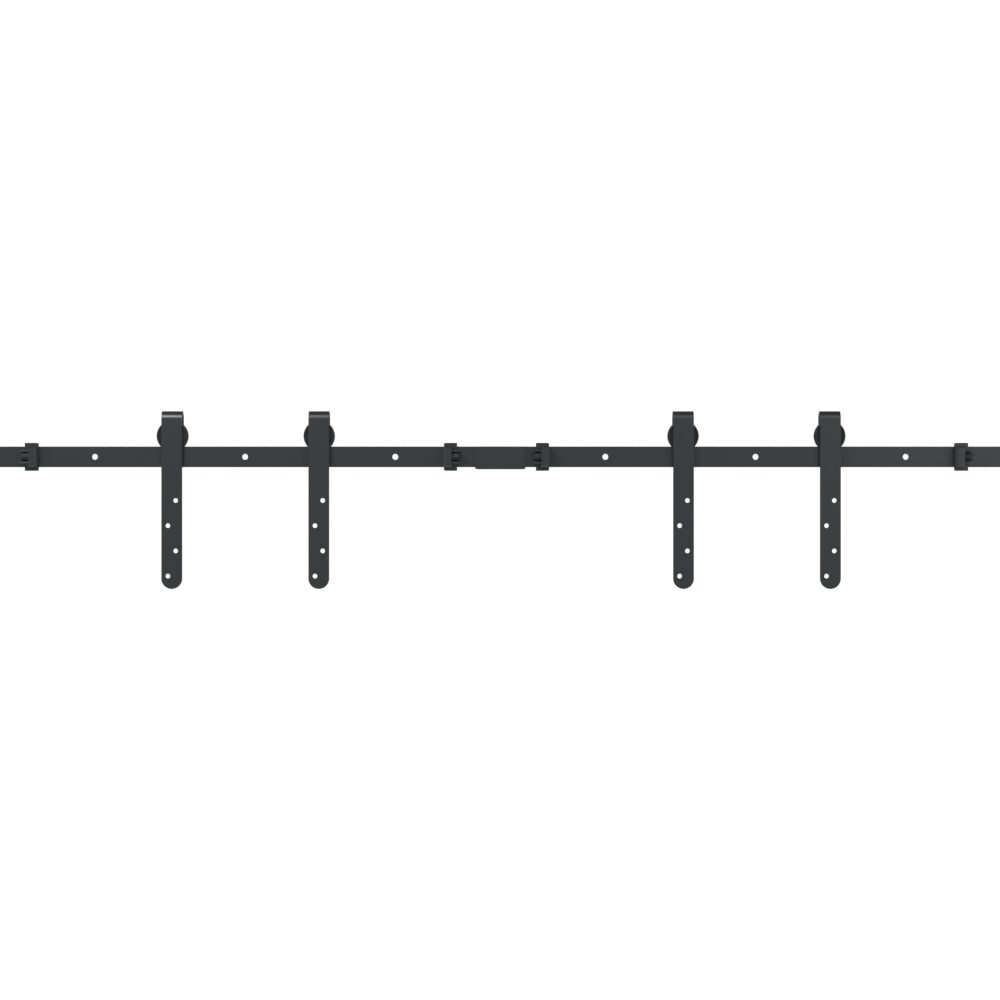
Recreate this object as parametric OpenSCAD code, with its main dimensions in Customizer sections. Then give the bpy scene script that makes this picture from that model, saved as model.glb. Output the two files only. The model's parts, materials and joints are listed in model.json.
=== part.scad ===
// Flat-track sliding barn door hardware for a pair of doors.
// X runs along the rail, -Y faces the room, +Y faces the wall and Z is up.
// The origin is on the rail's back face, at mid-height, at the joint of the two rails.
// All lengths are in millimetres.

/* [Rail] */
// Length of each of the two rails
rail_len = 990; // [940:10:1200]
// Height of the flat bar
rail_h = 40; // [40:1:44]
// Thickness of the flat bar
rail_t = 6; // [5:0.5:7]
// Diameter of the wall bolt holes
wall_hole_d = 11.4; // [8:0.1:14]
// Distance from the joint to the first wall hole of each rail
wall_hole_first = 203.5; // [150:0.5:240]
// Distance between the wall holes of one rail
wall_hole_pitch = 291; // [240:1:330]
// Number of wall holes in each rail
wall_holes = 3; // [2:1:3]

/* [Rail connector] */
// Length of the channel that joins the rails
connector_len = 98; // [80:1:140]
// Thickness of its front wall
connector_front_t = 3; // [2:0.5:4]
// Thickness of its back wall, which holds the set screws
connector_back_t = 5; // [4:0.5:6]
// Thickness of its web under the rail
connector_web_t = 4; // [3:0.5:6]

/* [Hangers] */
// Places of the four hangers along the rail, left to right
hanger_x = [-635, -350.8, 354.1, 638]; // [-860:0.1:860]
// Width of the strap
strap_w = 40; // [36:1:44]
// Thickness of the strap
strap_t = 5; // [4:0.5:6]
// Height of the strap's top above the middle of the rail
strap_top = 88.5; // [87:0.5:96]
// Depth of the strap's round end below the middle of the rail
strap_drop = 255.6; // [245:0.1:300]
// Diameter of the door bolt holes
door_hole_d = 9; // [6:0.5:11]
// Depth of the first door bolt hole below the middle of the rail
door_hole_first = 84.5; // [70:0.5:90]
// Distance down from one door bolt hole to the next
door_hole_pitch = 48.75; // [40:0.25:50]
// Sideways step of the door bolt holes from the strap's middle
door_hole_step = 7.5; // [0:0.5:10]
// Number of door bolt holes
door_holes = 4; // [2:1:4]

/* [Wheels] */
// Diameter over the flanges
wheel_d = 60; // [56:1:62]
// Width of the wheel
wheel_w = 20; // [18:1:21]
// Radius of the tread at the bottom of the groove
tread_r = 20; // [19:0.5:21]
// Width of the groove at the tread
groove_w = 7.4; // [7.2:0.1:8]
// Width of the groove at the rim
groove_rim_w = 9.4; // [8.4:0.1:10]

/* [Stops] */
// Places of the four stops along the rail, left to right
stop_x = [-907.9, -96.5, 81.8, 893]; // [-960:0.1:960]
// Length of a stop along the rail
stop_w = 25.4; // [24:0.2:30]
// Height of a stop
stop_h = 54; // [52:1:60]
// Depth of the boss in front of the clip
boss_depth = 24; // [22:0.5:26]
// Height of the boss
boss_h = 39; // [34:1:40]
// Thickness of the rubber buffer on the face towards the wheel
buffer_t = 2.5; // [2:0.1:4]
// Size of the bolt head across its flats
head_af = 16; // [13:0.5:16]
// How far the two guards of the bolt head stand out past the clip
guard_out = 5.5; // [3:0.5:8]
// Thickness of each guard
guard_t = 2.6; // [2:0.2:3.4]
// Height of each guard's middle above or below the middle of the rail
guard_z = 11.1; // [10.8:0.1:12]

/* [Hidden] */
PLACES = ["left_outer", "left_inner", "right_inner", "right_outer"];
HANGER_PIECES = ["strap_", "axle_bolt_", "axle_nut_", "axle_spacers_", "inner_race_"];
WHEEL_PIECES = ["wheel_", "outer_race_", "bearing_balls_", "bearing_seals_", "retaining_ring_"];
STOP_PIECES = ["stop_body_", "stop_buffer_", "stop_bolt_"];

$fn = 96;

// Colours of the powder coat, the rubber, the nylon and the plated steel
coat = "#3d4041";
rubber = "#26282a";
nylon = "#303334";
plated = "#8d9093";
dark_plated = "#46494b";

// Fits and gaps
cut = 1;              // how far a cutter runs past a face
rail_joint_gap = 0.5; // between the two rails
rail_fit = 0.15;      // between the rail and what grips it
roll_gap = 0.3;       // between the tread and the rail
side_gap = 1;         // between the wheel and each leg of the hook
thread_fit = 0.02;    // between a screw and its threaded hole
bolt_fit = 0.1;       // between the axle bolt and what it passes through
ball_fit = 0.1;       // between the balls and their grooves

// Places worked out from the sizes above
rail_mid_y = -rail_t / 2;
axle_z = rail_h / 2 + roll_gap + tread_r;
hook_r_in = wheel_w / 2 + side_gap;
hook_r_out = hook_r_in + strap_t;
hook_z = strap_top - hook_r_out;
front_leg_y = rail_mid_y - hook_r_out;
back_leg_y = rail_mid_y + hook_r_in;

// Axle: an M10 bolt with a flush countersunk head
axle_r = 5;
axle_head_r = 9.5;
axle_end_y = back_leg_y + strap_t + 12;
axle_washer_t = 1.5;
axle_washer_r = 10;
axle_nut_af = 17;
axle_nut_t = 8;
axle_sleeve_r = 7.5;
back_leg_drop = 18;   // how far the back leg reaches below the axle

// Ball bearing, 10 x 26 x 8
bearing_w = 8;
race_in_r = 5 + thread_fit;
race_in_rim_r = 7.6;
race_out_rim_r = 10.5;
race_out_r = 13;
ball_r = 2.38;
ball_path_r = 9;
balls = 7;
seal_t = 0.5;
seal_inset = 0.4;
seal_gap = 0.2;
ring_t = 1.2;
ring_r = 13.8;
ring_in_r = 11.4;

// Wheel hub
hub_hole_r = 11.5;
rim_chamfer = 1.2;
dish_in_r = 15.5;
dish_out_r = 25.5;
dish_depth = 1.5;

// Stop: a clip round the rail with a boss in front, and guards above and below the bolt head
clip_front_t = 3;
clip_back_t = 2.5;
clip_return = 7;      // height of each hook behind the rail
clip_front_y = -rail_t - clip_front_t;
boss_chamfer = 2;
head_pocket = 10;     // length of the clip that the bolt head lies over
head_y = clip_front_y - boss_depth / 2;
head_inset = 1.5;     // the head ends this far inside the guards
head_face_t = 0.8;    // the round washer face under the head
head_face_r = 7.8;
head_root = 1;        // how deep in the head its washer face and shank begin
guard_depth = 22;
buffer_inset = 0.5;   // the buffer is this much smaller all round
buffer_plug_r = 8;
buffer_plug_len = 7;
stop_bolt_r = 5;
shank_inset = 0.5;    // the shank ends this far inside the steel

// Set screws
stop_screw_r = 3;
stop_screw_len = 6;
stop_screw_x = [-7, 4];
connector_screw_r = 2.5;
connector_screw_x = [-35, -15, 15, 35];
socket_depth = 3;

// A flat outline drawn in X and Z, made solid from y to y + len.
module along_y(y, len) {
    translate([0, y + len, 0]) rotate([90, 0, 0]) linear_extrude(len) children();
}

// A flat outline drawn in Y and Z, made solid from x to x + len.
module along_x(x, len) {
    translate([x, 0, 0]) rotate([90, 0, 90]) linear_extrude(len) children();
}

// A round bar along Y.
module bar_y(y, len, r, r_end) {
    translate([0, y, 0]) rotate([-90, 0, 0]) cylinder(h = len, r1 = r, r2 = is_undef(r_end) ? r : r_end);
}

// A ring turned about the axle from an outline of radius and distance along Y.
module turned(y) {
    translate([0, y, 0]) rotate([-90, 0, 0]) rotate_extrude($fn = 128) children();
}

module ring(y, len, r_in, r_out) {
    turned(y) translate([r_in, 0]) square([r_out - r_in, len]);
}

// ---- Rails ----

// side is -1 for the left rail and 1 for the right rail.
module rail(side) {
    color(coat) along_y(-rail_t, rail_t) difference() {
        translate([side > 0 ? rail_joint_gap / 2 : -rail_len, -rail_h / 2])
            square([rail_len - rail_joint_gap / 2, rail_h]);
        for (i = [0 : wall_holes - 1])
            translate([side * (wall_hole_first + i * wall_hole_pitch), 0]) circle(d = wall_hole_d);
    }
}

// Outline of the connector from the front, with its lower corners rounded.
module connector_front() {
    r = connector_web_t;
    low = -rail_h / 2 - connector_web_t;
    translate([-connector_len / 2, low + r]) square([connector_len, rail_h + connector_web_t - r]);
    translate([-connector_len / 2 + r, low]) square([connector_len - 2 * r, r]);
    for (side = [-1, 1]) translate([side * (connector_len / 2 - r), low + r]) circle(r);
}

module rail_connector() {
    front_y = -rail_t - connector_front_t;
    depth = rail_t + connector_front_t + connector_back_t;
    color(coat) difference() {
        along_y(front_y, depth) connector_front();
        translate([-connector_len / 2 - cut, -rail_t - rail_fit, -rail_h / 2 - rail_fit])
            cube([connector_len + 2 * cut, rail_t + 2 * rail_fit, rail_h + 2 * cut]);
        for (x = connector_screw_x)
            translate([x, 0, 0]) bar_y(0, connector_back_t + cut, connector_screw_r + thread_fit);
    }
}

// A set screw along Y with a hexagon socket, its tip at y = 0.
module grub_screw(r, len) {
    difference() {
        bar_y(0, len, r);
        translate([0, len - socket_depth, 0]) rotate([-90, 0, 0])
            cylinder(h = socket_depth + cut, r = r * 0.58, $fn = 6);
    }
}

module connector_set_screws() {
    color(dark_plated) for (x = connector_screw_x)
        translate([x, 0, 0]) grub_screw(connector_screw_r, connector_back_t - 0.5);
}

// ---- Stops ----

// Draws its children at stop i, with local +X pointing at the wheel that it stops.
module at_stop(i) {
    translate([stop_x[i], 0, 0]) mirror([i % 2, 0, 0]) children();
}

// Side outline of the clip, in Y and Z, shrunk by inset all round.
module clip_side(inset) {
    clip_depth = rail_t + clip_front_t + clip_back_t;
    difference() {
        translate([clip_front_y + inset, -stop_h / 2 + inset])
            square([clip_depth - 2 * inset, stop_h - 2 * inset]);
        rail_slot(inset);
    }
}

// The space for the rail, open at the back between the two hooks.
module rail_slot(inset) {
    half = rail_h / 2 + rail_fit + inset;
    mouth = rail_h / 2 - clip_return + inset;
    translate([-rail_t - rail_fit - inset, -half]) square([rail_t + 2 * (rail_fit + inset), 2 * half]);
    translate([-cut, -mouth]) square([clip_back_t + 2 * cut, 2 * mouth]);
}

// Side outline of the boss, with its two front edges chamfered.
module boss_side(inset) {
    front = clip_front_y - boss_depth + inset;
    half = boss_h / 2 - inset;
    polygon([
        [clip_front_y + cut, -half], [clip_front_y + cut, half], [front + boss_chamfer, half],
        [front, half - boss_chamfer], [front, -half + boss_chamfer], [front + boss_chamfer, -half]
    ]);
}

// Side outline of the upper guard, a bar with a round nose.
module guard_side() {
    nose_y = clip_front_y - guard_depth + guard_t / 2;
    translate([nose_y, guard_z - guard_t / 2]) square([clip_front_y + cut - nose_y, guard_t]);
    translate([nose_y, guard_z]) circle(d = guard_t);
}

module stop_body(i) {
    steel_end = stop_w / 2 - buffer_t;
    boss_start = -stop_w / 2 + head_pocket;
    color(coat) at_stop(i) difference() {
        union() {
            along_x(-stop_w / 2, stop_w - buffer_t) clip_side(0);
            along_x(boss_start, steel_end - boss_start) boss_side(0);
            for (side = [0, 1]) mirror([0, 0, side])
                along_x(-stop_w / 2 - guard_out, guard_out + head_pocket + cut) guard_side();
        }
        translate([boss_start - cut, head_y, 0]) rotate([0, 90, 0])
            cylinder(h = stop_w, r = stop_bolt_r + bolt_fit);
        translate([steel_end - buffer_plug_len, head_y, 0]) rotate([0, 90, 0])
            cylinder(h = buffer_plug_len + cut, r = buffer_plug_r);
        for (x = stop_screw_x, side = [-1, 1])
            translate([x, rail_mid_y, side * rail_h / 2]) rotate([side * 90, 0, 0])
                bar_y(0, stop_h / 2, stop_screw_r + thread_fit);
    }
}

// A rubber facing with a plug that the bolt screws into.
module stop_buffer(i) {
    steel_end = stop_w / 2 - buffer_t;
    color(rubber) at_stop(i) difference() {
        union() {
            along_x(steel_end, buffer_t) {
                clip_side(buffer_inset);
                boss_side(buffer_inset);
            }
            translate([steel_end - buffer_plug_len, head_y, 0]) rotate([0, 90, 0])
                cylinder(h = buffer_plug_len + buffer_t / 2, r = buffer_plug_r);
        }
        translate([steel_end - buffer_plug_len - cut, head_y, 0]) rotate([0, 90, 0])
            cylinder(h = buffer_plug_len + cut, r = stop_bolt_r + thread_fit);
    }
}

// A bolt along X with a long hexagon head, a corner towards the room, and a washer face under the head.
module stop_bolt(i) {
    boss_start = -stop_w / 2 + head_pocket;
    head_len = head_pocket + guard_out - head_inset - head_face_t;
    shank_len = stop_w - head_pocket - buffer_t - shank_inset;
    color(dark_plated) at_stop(i) translate([boss_start, head_y, 0]) {
        translate([-head_face_t - head_len, 0, 0]) rotate([0, 90, 0]) rotate([0, 0, 30])
            cylinder(h = head_len, d = head_af / cos(30), $fn = 6);
        // The washer face and the shank start inside the head, so the bolt is one solid.
        translate([-head_face_t - head_root, 0, 0]) rotate([0, 90, 0]) {
            cylinder(h = head_root + head_face_t, r = head_face_r);
            cylinder(h = head_root + head_face_t + shank_len, r = stop_bolt_r);
        }
    }
}

module stop_set_screws() {
    color(dark_plated) for (i = [0 : 3]) at_stop(i)
        for (x = stop_screw_x, side = [-1, 1])
            translate([x, rail_mid_y, side * rail_h / 2]) rotate([side * 90, 0, 0])
                grub_screw(stop_screw_r, stop_screw_len);
}

// ---- Hangers ----

// Draws its children on the axle line of hanger i, with y still counted from the rail's back.
module at_axle(i) {
    translate([hanger_x[i], 0, axle_z]) children();
}

// The long front leg, with its round end and the door bolt holes in two columns.
module strap_front() {
    end_z = -strap_drop + strap_w / 2;
    difference() {
        union() {
            translate([-strap_w / 2, end_z]) square([strap_w, hook_z - end_z]);
            translate([0, end_z]) circle(d = strap_w);
        }
        for (i = [0 : door_holes - 1])
            translate([door_hole_step * (i % 2 == 0 ? 1 : -1), -door_hole_first - i * door_hole_pitch])
                circle(d = door_hole_d);
    }
}

// The short back leg, rounded below the axle.
module strap_back() {
    end_z = axle_z - back_leg_drop + strap_w / 2;
    translate([-strap_w / 2, end_z]) square([strap_w, hook_z - end_z]);
    translate([0, end_z]) circle(d = strap_w);
}

// The half-round bend over the wheel, in Y and Z.
module hook_side() {
    translate([rail_mid_y, hook_z]) difference() {
        circle(hook_r_out);
        circle(hook_r_in);
        translate([-hook_r_out - cut, -2 * hook_r_out]) square([2 * (hook_r_out + cut), 2 * hook_r_out]);
    }
}

module strap(i) {
    color(coat) difference() {
        translate([hanger_x[i], 0, 0]) {
            along_y(front_leg_y, strap_t) strap_front();
            along_y(back_leg_y, strap_t) strap_back();
            along_x(-strap_w / 2, strap_w) hook_side();
        }
        at_axle(i) {
            bar_y(front_leg_y - cut, back_leg_y + strap_t - front_leg_y + 2 * cut, axle_r + bolt_fit);
            bar_y(front_leg_y, axle_head_r - axle_r, axle_head_r + bolt_fit, axle_r + bolt_fit);
        }
    }
}

module axle_bolt(i) {
    bevel = 1;
    len = axle_end_y - front_leg_y;
    color(coat) at_axle(i) turned(front_leg_y) polygon([
        [0, 0], [axle_head_r, 0], [axle_r, axle_head_r - axle_r],
        [axle_r, len - bevel], [axle_r - bevel, len], [0, len]
    ]);
}

module axle_nut(i) {
    color(dark_plated) at_axle(i) difference() {
        translate([0, back_leg_y + strap_t + axle_washer_t, 0]) rotate([-90, 0, 0])
            cylinder(h = axle_nut_t, d = axle_nut_af / cos(30), $fn = 6);
        bar_y(back_leg_y, axle_end_y - back_leg_y, axle_r + thread_fit);
    }
}

// Two sleeves that hold the inner race midway between the legs, and the washer under the nut.
module axle_spacers(i) {
    sleeve_len = hook_r_in - bearing_w / 2;
    color(plated) at_axle(i) {
        ring(front_leg_y + strap_t, sleeve_len, axle_r + bolt_fit, axle_sleeve_r);
        ring(back_leg_y - sleeve_len, sleeve_len, axle_r + bolt_fit, axle_sleeve_r);
        ring(back_leg_y + strap_t, axle_washer_t, axle_r + bolt_fit, axle_washer_r);
    }
}

// Outline of one race, with the groove that its balls run in.
module race_section(r_in, r_out) {
    difference() {
        translate([r_in, -bearing_w / 2]) square([r_out - r_in, bearing_w]);
        translate([ball_path_r, 0]) circle(ball_r + ball_fit, $fn = 48);
    }
}

module inner_race(i) {
    color(plated) at_axle(i) turned(rail_mid_y) race_section(race_in_r, race_in_rim_r);
}

// ---- Wheels ----

// Half section of the wheel, in radius and distance from its middle.
module wheel_section() {
    half = wheel_w / 2;
    rim = wheel_d / 2;
    difference() {
        polygon([
            [hub_hole_r, -half], [rim - rim_chamfer, -half], [rim, -half + rim_chamfer],
            [rim, -groove_rim_w / 2], [tread_r, -groove_w / 2],
            [tread_r, groove_w / 2], [rim, groove_rim_w / 2],
            [rim, half - rim_chamfer], [rim - rim_chamfer, half], [hub_hole_r, half]
        ]);
        translate([0, -bearing_w / 2]) square([race_out_r, wheel_w]);
        translate([0, bearing_w / 2]) square([ring_r, ring_t]);
        for (side = [0, 1]) mirror([0, side]) translate([dish_in_r, half - dish_depth])
            square([dish_out_r - dish_in_r, wheel_w]);
    }
}

module wheel(i) {
    color(nylon) at_axle(i) turned(rail_mid_y) wheel_section();
}

module outer_race(i) {
    color(plated) at_axle(i) turned(rail_mid_y) race_section(race_out_rim_r, race_out_r);
}

module bearing_balls(i) {
    color(plated) at_axle(i) translate([0, rail_mid_y, 0])
        for (k = [0 : balls - 1]) rotate([0, k * 360 / balls, 0]) translate([ball_path_r, 0, 0])
            sphere(ball_r, $fn = 32);
}

module bearing_seals(i) {
    y = bearing_w / 2 - seal_inset - seal_t;
    color(rubber) at_axle(i) for (start = [rail_mid_y + y, rail_mid_y - y - seal_t])
        ring(start, seal_t, race_in_rim_r + seal_gap, race_out_rim_r);
}

// The snap ring that keeps the bearing in the wheel, open at the bottom.
module retaining_ring(i) {
    gap = 3;
    color(dark_plated) at_axle(i) difference() {
        ring(rail_mid_y + bearing_w / 2, ring_t, ring_in_r, ring_r);
        translate([-gap / 2, 0, -ring_r - cut]) cube([gap, bearing_w, ring_r + cut]);
    }
}

// ---- All the pieces ----

rail(-1);  // rail_left
rail(1);  // rail_right
rail_connector();
connector_set_screws();
stop_set_screws();
for (i = [0 : len(PLACES) - 1]) {
    place = PLACES[i];
    stop_body(i);
    stop_buffer(i);
    stop_bolt(i);
    strap(i);
    axle_bolt(i);
    axle_nut(i);
    axle_spacers(i);
    inner_race(i);
    wheel(i);
    outer_race(i);
    bearing_balls(i);
    bearing_seals(i);
    retaining_ring(i);
}
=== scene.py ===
"""Flat-track sliding door hardware: joined rails, strap hangers on grooved wheels, and stops."""

import json
import math

import bmesh
import bpy
from mathutils import Matrix, Vector
from mathutils.geometry import tessellate_polygon


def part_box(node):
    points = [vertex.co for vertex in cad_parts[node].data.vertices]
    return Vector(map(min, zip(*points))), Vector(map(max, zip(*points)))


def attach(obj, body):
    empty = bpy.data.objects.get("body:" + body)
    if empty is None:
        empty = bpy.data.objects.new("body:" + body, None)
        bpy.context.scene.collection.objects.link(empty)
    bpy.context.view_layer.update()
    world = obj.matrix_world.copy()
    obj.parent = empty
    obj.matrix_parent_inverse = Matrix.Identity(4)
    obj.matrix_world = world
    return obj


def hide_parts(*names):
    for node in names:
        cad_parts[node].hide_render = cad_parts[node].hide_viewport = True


bl_info = {
    "name": "Barn door track",
    "version": (1, 0, 0),
    "blender": (4, 5, 0),
    "location": "3D View > Sidebar > Barn door",
    "description": "Builds the finished pieces of a flat-track sliding door kit round its frame",
    "category": "Object",
}

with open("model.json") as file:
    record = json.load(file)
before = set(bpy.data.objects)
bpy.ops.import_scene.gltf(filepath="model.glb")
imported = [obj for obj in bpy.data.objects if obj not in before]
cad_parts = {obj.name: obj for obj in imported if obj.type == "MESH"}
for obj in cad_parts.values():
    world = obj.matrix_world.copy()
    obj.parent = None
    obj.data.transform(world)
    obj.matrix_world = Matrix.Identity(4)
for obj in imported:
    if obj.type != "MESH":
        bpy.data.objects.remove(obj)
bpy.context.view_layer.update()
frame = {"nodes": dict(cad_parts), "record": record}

MM = 0.001
PLACES = ("left_outer", "left_inner", "right_inner", "right_outer")
MOUNTS = {mount["name"]: mount for mount in frame["record"]["mounts"]}
SMOOTH_ANGLE = math.radians(40)

# Places of a colour Mix node's factor and two colours among its inputs, and of its colour among its outputs
FACTOR, FIRST, SECOND = 0, 6, 7
MIXED = 2


# ---- Colours and shader nodes ----


def linear(hex_colour):
    """A linear RGBA colour from an sRGB hex value."""
    values = [int(hex_colour[k : k + 2], 16) / 255 for k in (1, 3, 5)]
    return (*[v / 12.92 if v <= 0.04045 else ((v + 0.055) / 1.055) ** 2.4 for v in values], 1.0)


def scaled(colour, factor):
    """The same colour, lighter or darker."""
    return (*[min(1.0, channel * factor) for channel in colour[:3]], 1.0)


def add(tree, kind, links=None, **settings):
    """Adds one node. links gives each input a value or the output that feeds it."""
    made = tree.nodes.new(kind)
    for key, value in settings.items():
        setattr(made, key, value)
    for key, value in (links or {}).items():
        if isinstance(value, bpy.types.NodeSocket):
            tree.links.new(value, made.inputs[key])
        else:
            made.inputs[key].default_value = value
    return made


def surface(name):
    """A new material with its node tree and its Principled shader."""
    made = bpy.data.materials.new(name)
    made.use_nodes = True
    return made, made.node_tree, made.node_tree.nodes["Principled BSDF"]


def noise_scale(size):
    """The Noise Texture's scale for features of that size in metres."""
    return 1 / size


def ring_scale(pitch):
    """The Wave Texture's scale for rings that pitch apart in metres."""
    return 2 * math.pi / (20 * pitch)


# ---- Materials ----


def satin_powder_coat(colour):
    """Powder-coated steel, sprayed and baked: a satin charcoal skin with fine orange peel.

    The eye gets a soft broad highlight from the resin-rich skin, a slightly uneven gloss, and tiny
    dimples close to.
    """
    made, tree, shader = surface("satin_powder_coat")
    place = add(tree, "ShaderNodeTexCoord").outputs["Object"]
    links = {"Vector": place, "Scale": noise_scale(1.1 * MM), "Detail": 3.0}
    peel = add(tree, "ShaderNodeTexNoise", links).outputs["Fac"]
    links = {"Vector": place, "Scale": noise_scale(45 * MM), "Detail": 4.0}
    cloud = add(tree, "ShaderNodeTexNoise", links).outputs["Fac"]
    links = {"Vector": place, "Scale": noise_scale(0.5 * MM), "Detail": 2.0}
    grain = add(tree, "ShaderNodeTexNoise", links).outputs["Fac"]
    links = {FACTOR: cloud, FIRST: scaled(colour, 0.92), SECOND: scaled(colour, 1.1)}
    tone = add(tree, "ShaderNodeMix", links, data_type="RGBA").outputs[MIXED]
    links = {FACTOR: grain, FIRST: linear("#dcdcdc"), SECOND: linear("#ffffff")}
    speckle = add(tree, "ShaderNodeMix", links, data_type="RGBA").outputs[MIXED]
    links = {FACTOR: 1.0, FIRST: tone, SECOND: speckle}
    blend = add(tree, "ShaderNodeMix", links, data_type="RGBA", blend_type="MULTIPLY").outputs[MIXED]
    tree.links.new(blend, shader.inputs["Base Color"])
    gloss = add(tree, "ShaderNodeMapRange", {"Value": cloud, "To Min": 0.33, "To Max": 0.43})
    tree.links.new(gloss.outputs["Result"], shader.inputs["Roughness"])
    shader.inputs["Coat Weight"].default_value = 1.0
    shader.inputs["Coat Roughness"].default_value = 0.38
    bump = add(tree, "ShaderNodeBump", {"Height": peel, "Distance": 0.03 * MM, "Strength": 0.6})
    tree.links.new(bump.outputs["Normal"], shader.inputs["Normal"])
    tree.links.new(bump.outputs["Normal"], shader.inputs["Coat Normal"])
    return made


def moulded_nylon(colour):
    """Injection-moulded nylon: a duller, softer black than the coat, with faint turned-in flow rings."""
    made, tree, shader = surface("moulded_nylon")
    place = add(tree, "ShaderNodeTexCoord").outputs["Object"]
    links = {"Vector": place, "Scale": ring_scale(1.6 * MM), "Distortion": 1.5, "Detail": 2.0}
    rings = add(tree, "ShaderNodeTexWave", links, wave_type="RINGS", rings_direction="Y").outputs["Fac"]
    links = {"Vector": place, "Scale": noise_scale(0.9 * MM), "Detail": 4.0}
    grain = add(tree, "ShaderNodeTexNoise", links).outputs["Fac"]
    links = {"Vector": place, "Scale": noise_scale(14 * MM), "Detail": 3.0}
    cloud = add(tree, "ShaderNodeTexNoise", links).outputs["Fac"]
    links = {FACTOR: cloud, FIRST: scaled(colour, 0.9), SECOND: scaled(colour, 1.12)}
    tone = add(tree, "ShaderNodeMix", links, data_type="RGBA").outputs[MIXED]
    tree.links.new(tone, shader.inputs["Base Color"])
    gloss = add(tree, "ShaderNodeMapRange", {"Value": grain, "To Min": 0.42, "To Max": 0.58})
    tree.links.new(gloss.outputs["Result"], shader.inputs["Roughness"])
    links = {"Height": grain, "Distance": 0.03 * MM, "Strength": 0.5}
    fine = add(tree, "ShaderNodeBump", links).outputs["Normal"]
    links = {"Height": rings, "Distance": 0.02 * MM, "Strength": 0.35, "Normal": fine}
    bump = add(tree, "ShaderNodeBump", links).outputs["Normal"]
    tree.links.new(bump, shader.inputs["Normal"])
    shader.inputs["IOR"].default_value = 1.53
    return made


def moulded_rubber(colour):
    """Moulded rubber: nearly black and matt, with a fine pebbled skin and a trace of dusty bloom."""
    made, tree, shader = surface("moulded_rubber")
    place = add(tree, "ShaderNodeTexCoord").outputs["Object"]
    links = {"Vector": place, "Scale": noise_scale(0.8 * MM)}
    pebble = add(tree, "ShaderNodeTexVoronoi", links).outputs["Distance"]
    links = {"Vector": place, "Scale": noise_scale(9 * MM), "Detail": 5.0}
    bloom = add(tree, "ShaderNodeTexNoise", links).outputs["Fac"]
    links = {FACTOR: bloom, FIRST: scaled(colour, 0.85), SECOND: scaled(colour, 1.25)}
    tone = add(tree, "ShaderNodeMix", links, data_type="RGBA").outputs[MIXED]
    tree.links.new(tone, shader.inputs["Base Color"])
    gloss = add(tree, "ShaderNodeMapRange", {"Value": bloom, "To Min": 0.72, "To Max": 0.88})
    tree.links.new(gloss.outputs["Result"], shader.inputs["Roughness"])
    bump = add(tree, "ShaderNodeBump", {"Height": pebble, "Distance": 0.05 * MM, "Strength": 0.5})
    tree.links.new(bump.outputs["Normal"], shader.inputs["Normal"])
    shader.inputs["IOR"].default_value = 1.52
    return made


def turned_steel(name, colour, pitch, rough_low, rough_high, stain):
    """Turned steel with a plated or ground skin: tool rings round the axis and slight staining.

    Real tool rings are finer. These are drawn coarse enough to show.
    """
    made, tree, shader = surface(name)
    place = add(tree, "ShaderNodeTexCoord").outputs["Object"]
    links = {"Vector": place, "Scale": ring_scale(pitch), "Distortion": 0.6, "Detail": 1.0}
    rings = add(tree, "ShaderNodeTexWave", links, wave_type="RINGS", rings_direction="Y").outputs["Fac"]
    links = {"Vector": place, "Scale": noise_scale(6 * MM), "Detail": 5.0}
    cloud = add(tree, "ShaderNodeTexNoise", links).outputs["Fac"]
    links = {FACTOR: cloud, FIRST: colour, SECOND: stain}
    tone = add(tree, "ShaderNodeMix", links, data_type="RGBA").outputs[MIXED]
    tree.links.new(tone, shader.inputs["Base Color"])
    gloss = add(tree, "ShaderNodeMapRange", {"Value": cloud, "To Min": rough_low, "To Max": rough_high})
    tree.links.new(gloss.outputs["Result"], shader.inputs["Roughness"])
    bump = add(tree, "ShaderNodeBump", {"Height": rings, "Distance": 0.02 * MM, "Strength": 0.5})
    tree.links.new(bump.outputs["Normal"], shader.inputs["Normal"])
    shader.inputs["Metallic"].default_value = 1.0
    return made


def black_zinc(colour):
    """Black zinc-plated steel: dark metal with a dull, slightly uneven sheen."""
    return turned_steel("black_zinc_steel", colour, 0.5 * MM, 0.6, 0.74, scaled(colour, 1.25))


def bright_zinc(colour):
    """Bright zinc-plated steel: pale grey metal with turning rings and a cool passivated cast."""
    return turned_steel("bright_zinc_steel", colour, 0.4 * MM, 0.24, 0.36, linear("#c6ced6"))


def ground_bearing_steel(colour):
    """Ground and honed bearing steel: a near mirror with faint grinding rings."""
    return turned_steel("ground_bearing_steel", colour, 0.2 * MM, 0.08, 0.16, scaled(colour, 0.93))


MATERIALS = {
    "coat": satin_powder_coat,
    "nylon": moulded_nylon,
    "rubber": moulded_rubber,
    "black_zinc": black_zinc,
    "bright_zinc": bright_zinc,
    "bearing_steel": ground_bearing_steel,
}
made_materials = {}


def finish(key):
    """The material of that finish, made once in the colour that the panel gives."""
    if key not in made_materials:
        made_materials[key] = MATERIALS[key](tuple(getattr(bpy.context.scene.barn_finish, key)))
    return made_materials[key]


# ---- Outlines ----

# A corner is left as it is when its arc would be smaller than this, or when it is straighter than this
SMALLEST_ROUND = 0.005 * MM
STRAIGHT = math.radians(178)

# Hexagons: what is turned off the corners, the chamfer's angle, and the share of the flats it leaves
CORNER_CUT = 0.35 * MM
CHAMFER = math.radians(30)
FACE_SHARE = 0.95


def arc(centre, radius, start, end, steps=32):
    """Points on an arc from the start angle to the end angle, in degrees."""
    angles = [math.radians(start + (end - start) * k / steps) for k in range(steps + 1)]
    return [(centre[0] + radius * math.cos(a), centre[1] + radius * math.sin(a)) for a in angles]


def hole(centre, radius, steps=48):
    """A round hole, clockwise, so that the material lies on its left."""
    return arc(centre, radius, 0, -360, steps)[:-1]


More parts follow.
